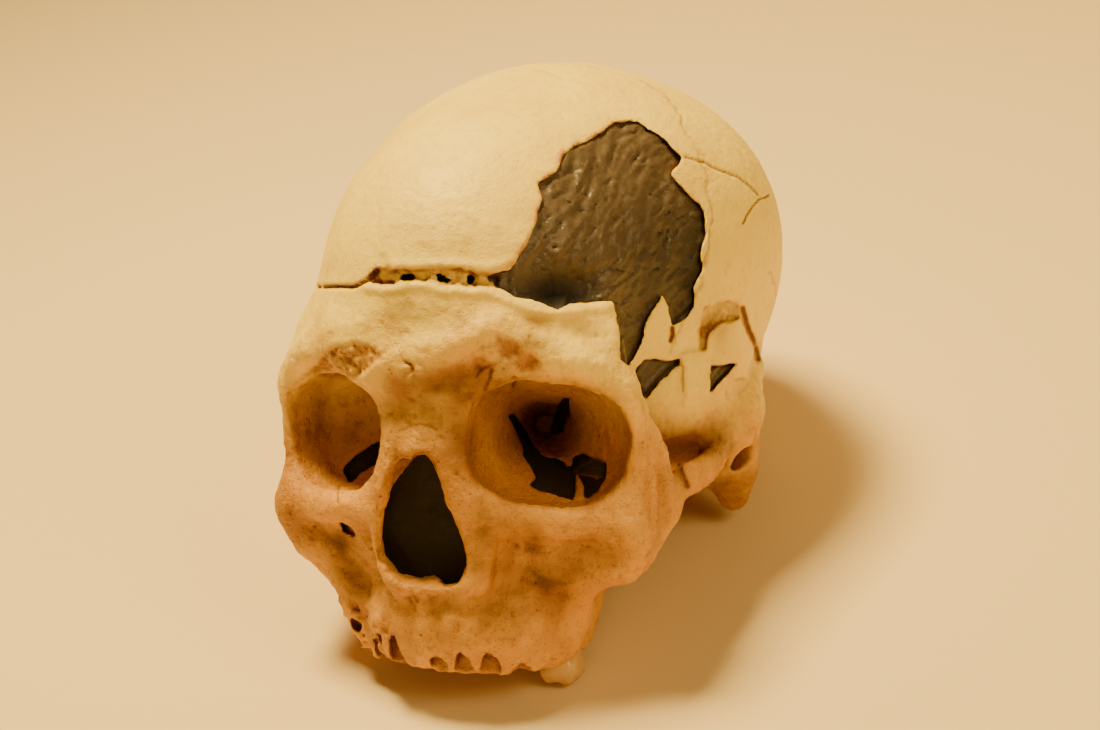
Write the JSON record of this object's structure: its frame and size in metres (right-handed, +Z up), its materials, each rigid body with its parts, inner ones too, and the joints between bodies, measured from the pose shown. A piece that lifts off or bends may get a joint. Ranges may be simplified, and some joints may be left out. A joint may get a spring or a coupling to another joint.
{
  "type": "fossil human skull",
  "caption": "Life-size fossil human cranium without its lower jaw, cracked and worn, with dark resin filling the missing bone of its temple, orbits and nose; it lies as bare bone rests.",
  "frame": {"origin": "centre of the bounding box's footprint, on the plane that the skull rests on", "axes": "+Z up from the resting plane, -Y the way the face looks, +Y to the back of the head, +X to the skull's own left"},
  "size_m": [0.1356, 0.2016, 0.1458],
  "materials": {
    "fill_nose": "dark restoration resin, satin, trowelled",
    "fill_orbit_left": "dark restoration resin, satin, trowelled",
    "fill_orbit_left_slit": "dark restoration resin, satin, trowelled",
    "fill_orbit_right": "dark restoration resin, satin, trowelled",
    "fill_temple": "dark restoration resin, satin, trowelled",
    "fill_window_front": "dark restoration resin, satin, trowelled",
    "fill_window_rear": "dark restoration resin, satin, trowelled",
    "frontal_brow": "fossil bone, ochre to cream, dull with a faint sheen",
    "frontal_vault": "fossil bone, ochre to cream, dull with a faint sheen",
    "maxilla_left": "fossil bone, ochre to cream, dull with a faint sheen",
    "maxilla_right": "fossil bone, ochre to cream, dull with a faint sheen",
    "molar_left": "worn tooth enamel, satin",
    "nasal_bones": "fossil bone, ochre to cream, dull with a faint sheen",
    "occipital": "fossil bone, ochre to cream, dull with a faint sheen",
    "parietal_left": "fossil bone, ochre to cream, dull with a faint sheen",
    "parietal_right": "fossil bone, ochre to cream, dull with a faint sheen",
    "sphenoid": "fossil bone, ochre to cream, dull with a faint sheen",
    "temporal_left": "fossil bone, ochre to cream, dull with a faint sheen",
    "temporal_right": "fossil bone, ochre to cream, dull with a faint sheen",
    "zygomatic_left": "fossil bone, ochre to cream, dull with a faint sheen",
    "zygomatic_right": "fossil bone, ochre to cream, dull with a faint sheen"
  },
  "bodies": {
    "root": {"fill_nose": "fill_nose", "fill_orbit_left": "fill_orbit_left", "fill_orbit_left_slit": "fill_orbit_left_slit", "fill_orbit_right": "fill_orbit_right", "fill_temple": "fill_temple", "fill_window_front": "fill_window_front", "fill_window_rear": "fill_window_rear", "frontal_brow": "frontal_brow", "frontal_vault": "frontal_vault", "maxilla_left": "maxilla_left", "maxilla_right": "maxilla_right", "molar_left": "molar_left", "nasal_bones": "nasal_bones", "occipital": "occipital", "parietal_left": "parietal_left", "parietal_right": "parietal_right", "sphenoid": "sphenoid", "temporal_left": "temporal_left", "temporal_right": "temporal_right", "zygomatic_left": "zygomatic_left", "zygomatic_right": "zygomatic_right"}
  },
  "joints": []
}
